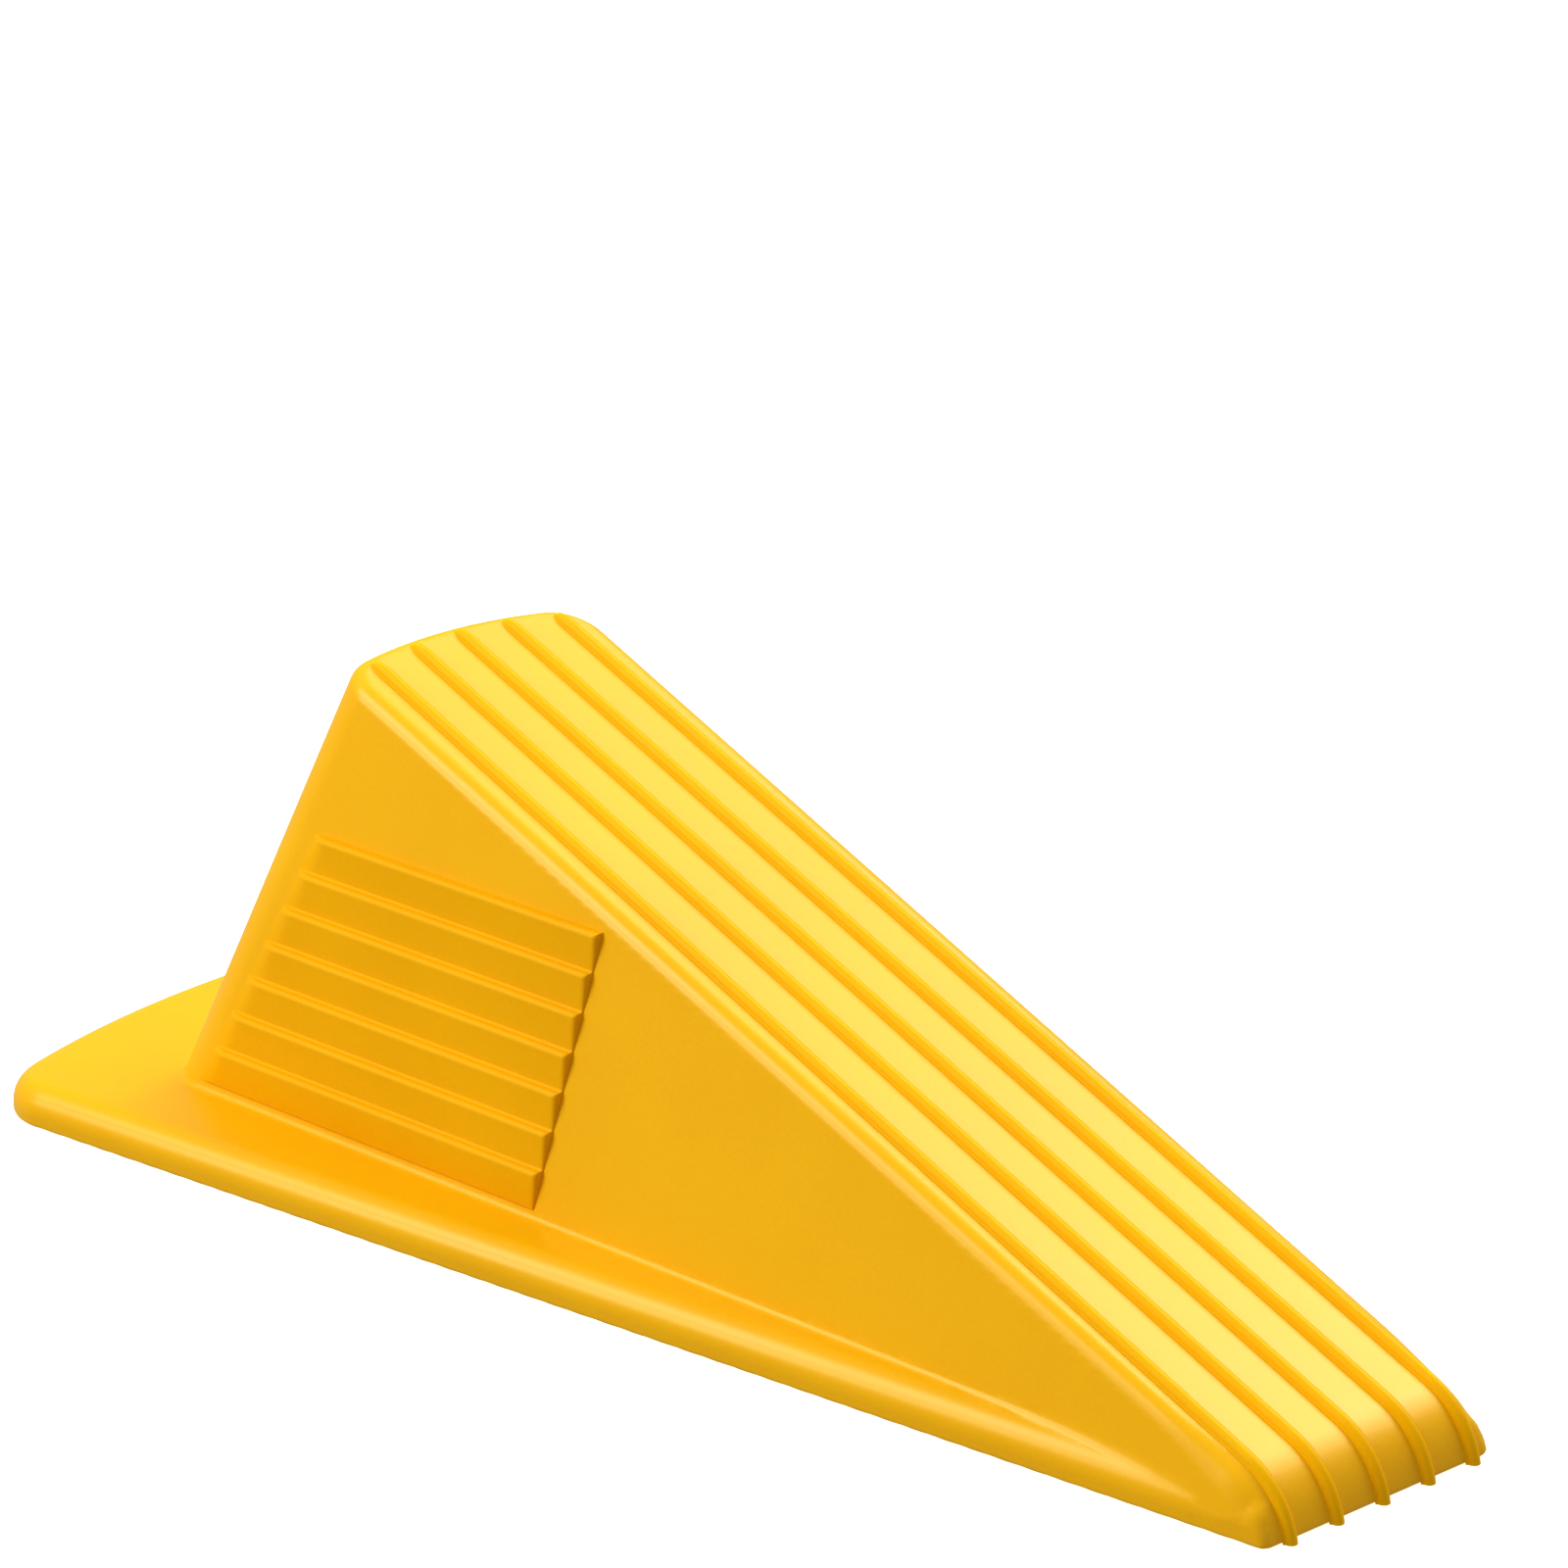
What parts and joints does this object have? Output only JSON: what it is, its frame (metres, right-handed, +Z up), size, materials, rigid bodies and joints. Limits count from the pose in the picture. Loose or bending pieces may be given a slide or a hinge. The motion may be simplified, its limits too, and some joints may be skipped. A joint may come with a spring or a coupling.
{
  "type": "wedge chock",
  "caption": "Long low moulded rubber wedge with a ribbed ramp, rounded toe, saw-tooth finger grips on both sides, a flared foot flange and a cored underside.",
  "frame": {"origin": "on the floor, at the middle of the overall length and width of the wedge", "axes": "+X along the wedge from the heel to the toe, +Y to its left, +Z up from the floor"},
  "size_m": [0.1714, 0.0864, 0.0514],
  "materials": {
    "body": "satin moulded rubber, safety yellow",
    "rib": "satin moulded rubber, safety yellow",
    "grip": "satin moulded rubber, safety yellow",
    "underside": "matt moulded rubber, safety yellow"
  },
  "bodies": {
    "root": {"wedge_shell": "body", "toe": "body", "foot_flange": "body", "ramp_rib_1": "rib", "ramp_rib_2": "rib", "ramp_rib_3": "rib", "ramp_rib_4": "rib", "ramp_rib_5": "rib", "side_grip_left": "grip", "side_grip_right": "grip", "centre_web": "underside", "cross_web_left_1": "underside", "cross_web_left_2": "underside", "cross_web_left_3": "underside", "cross_web_right_1": "underside", "cross_web_right_2": "underside", "cross_web_right_3": "underside"}
  },
  "joints": []
}
